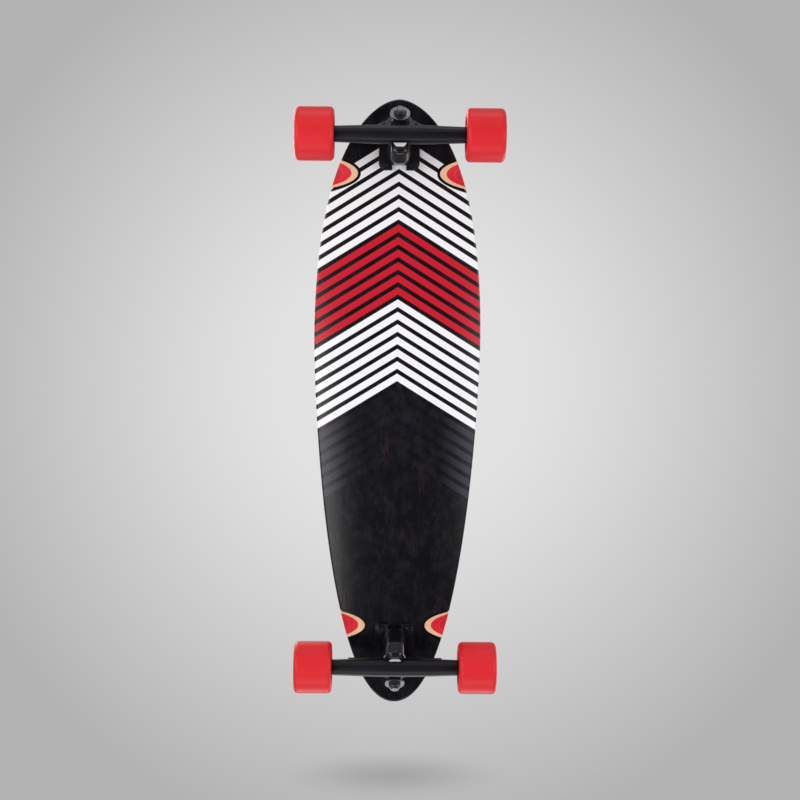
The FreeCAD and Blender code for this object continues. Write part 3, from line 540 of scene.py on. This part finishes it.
for end, way in ENDS.items():
    pivot_foot = Vector((0, TRUCK_SHIFT + way * PIVOT_FOOT[0], PIVOT_FOOT[1]))
    ring_centre = pivot_foot + Vector((0, way, 1)) * (HALF_ROOT * RING_REACH)
    kingpin_way = Vector((0, way * HALF_ROOT, -HALF_ROOT))
    for name, side, far, waist in BUSHINGS:
        axis = kingpin_way * side
        start = ring_centre + axis * RING_HALF
        profile = bushing_profile(BUSHING_RADIUS, far, waist, BUSHING_BORE, BUSHING_LENGTH)
        bushing = turned_mesh(f"{end}_{name}_bushing_urethane", profile, start, axis)
        bushing.data.materials.append(materials["bushing"])
        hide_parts(f"{end}_{name}_bushing")
        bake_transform(bushing)


# Stage: a pale backdrop all round, as the board hangs free in the photograph, and soft lamps

# Backdrop: where it is brightest, and its grey level by the distance from there, in tangents of angles
BACKDROP_MIDDLE = (0.0, 0.014)
BACKDROP_LEVELS = ((0.0, 228), (0.09, 225), (0.136, 218), (0.204, 204), (0.26, 192), (0.32, 179))
BACKDROP_BELOW = linear(92, 92, 94)
BELOW_TO_SIDE = (-0.95, -0.3)
LEAST_AHEAD = 0.05
AMBIENT = (0.5, 0.5, 0.51, 1)

# The soft shadow under the tail in the photograph
SHADOW_MIDDLE = (-0.005, -0.2547)
SHADOW_SPREAD = 0.085
SHADOW_DEPTH = 0.018
SHADOW_SHARE = 0.27
SHADOW_TONE = linear(40, 39, 42)

# Lamps: name, place, aim, width, height and power. The two cards give the rails their sheen
BOARD_MIDDLE = (0, 0, 0.08)
LAMPS = (
    ("softbox_left", (1.5, 0.5, -1.2), BOARD_MIDDLE, 0.9, 1.8, 16),
    ("softbox_right", (-1.6, 0.2, -1.1), BOARD_MIDDLE, 0.8, 1.6, 11),
    ("softbox_nose", (0.1, 1.9, -1.3), (0, 0.1, 0.08), 1.6, 0.7, 3),
    ("softbox_tail", (0.1, -1.9, -1.2), (0, 0.1, 0.08), 1.6, 0.7, 9),
    ("card_left", (0.76, -0.5, -1.85), (0, -0.2, 0.1), 1.0, 0.4, 5.2),
    ("card_right", (-0.85, -0.5, -1.85), (0, -0.5, 0.1), 1.1, 0.25, 2),
    ("rim_nose", (0, 2.2, 0.15), (0, 0.37, 0.06), 1.2, 0.5, 5),
    ("rim_tail", (0, -2.2, 0.8), (0, -0.35, 0.06), 1.2, 0.5, 7),
    ("overhead_key", (1.0, 0.6, 1.7), BOARD_MIDDLE, 1.4, 1.4, 20),
    ("overhead_fill", (-1.3, -0.9, 1.3), BOARD_MIDDLE, 1.2, 1.2, 9),
)


def make_world():
    """Even grey light all round, and a soft grey backdrop where it is seen or mirrored."""
    scene.world = bpy.data.worlds.new("studio")
    scene.world.use_nodes = True
    studio = NodeBuilder(scene.world.node_tree, "Generated")
    ahead = studio.math("MAXIMUM", studio.dot(-CAMERA_TURN.col[2]), LEAST_AHEAD)

    def off_axis(*middle):
        """Distances of the direction from a middle, in the tangents of the angles aside and upward."""
        return [studio.math("SUBTRACT", studio.math("DIVIDE", studio.dot(way), ahead), tangent)
                for way, tangent in zip(CAMERA_TURN.col, middle)]

    # Brightest behind the board's middle, falling off to the sides, and dark below the board
    fall = studio.add("ValToRGB")
    studio.put(fall.inputs[0], studio.length(*off_axis(*BACKDROP_MIDDLE)))
    elements = fall.color_ramp.elements
    for index, (place, level) in enumerate(BACKDROP_LEVELS):
        stop = elements[index] if index < 2 else elements.new(place)
        stop.position = place
        stop.color = linear(level, level, level)
    sideways = studio.ramp(studio.dot((0, 0, 1)), *BELOW_TO_SIDE)
    backdrop = studio.mix(sideways, BACKDROP_BELOW, fall.outputs[0])

    over, high = off_axis(*SHADOW_MIDDLE)
    over = studio.math("DIVIDE", over, SHADOW_SPREAD)
    high = studio.math("DIVIDE", high, SHADOW_DEPTH)
    shade = studio.math("MULTIPLY", studio.ramp(studio.length(over, high), 1.0, 0.0), SHADOW_SHARE)
    backdrop = studio.mix(shade, backdrop, SHADOW_TONE)

    path = studio.add("LightPath").outputs
    seen = studio.math("MAXIMUM", path["Is Camera Ray"], path["Is Glossy Ray"])
    seen = studio.math("MAXIMUM", seen, path["Is Transmission Ray"])
    background = studio.tree.nodes["Background"]
    studio.put(background.inputs["Color"], studio.mix(seen, AMBIENT, backdrop))


def make_lamp(name, place, aim, width, height, power):
    lamp = bpy.data.lights.new(name, "AREA")
    lamp.shape = "RECTANGLE"
    lamp.size = width
    lamp.size_y = height
    lamp.energy = power
    made = bpy.data.objects.new(name, lamp)
    made.location = place
    made.rotation_euler = (Vector(aim) - Vector(place)).to_track_quat("-Z", "Y").to_euler()
    made.visible_camera = False
    scene.collection.objects.link(made)


def make_camera():
    data = bpy.data.cameras.new("photo_camera")
    data.sensor_width = SENSOR
    data.lens = CAMERA_FOCAL_PIXELS / IMAGE_SIZE * SENSOR
    camera = bpy.data.objects.new("photo_camera", data)
    place = CAMERA_AIM + CAMERA_TURN @ (CAMERA_SIDESTEP + Vector((0, 0, CAMERA_DISTANCE)))
    camera.matrix_world = Matrix.Translation(place) @ CAMERA_TURN.to_4x4()
    scene.collection.objects.link(camera)
    scene.camera = camera


make_world()
for lamp in LAMPS:
    make_lamp(*lamp)
make_camera()
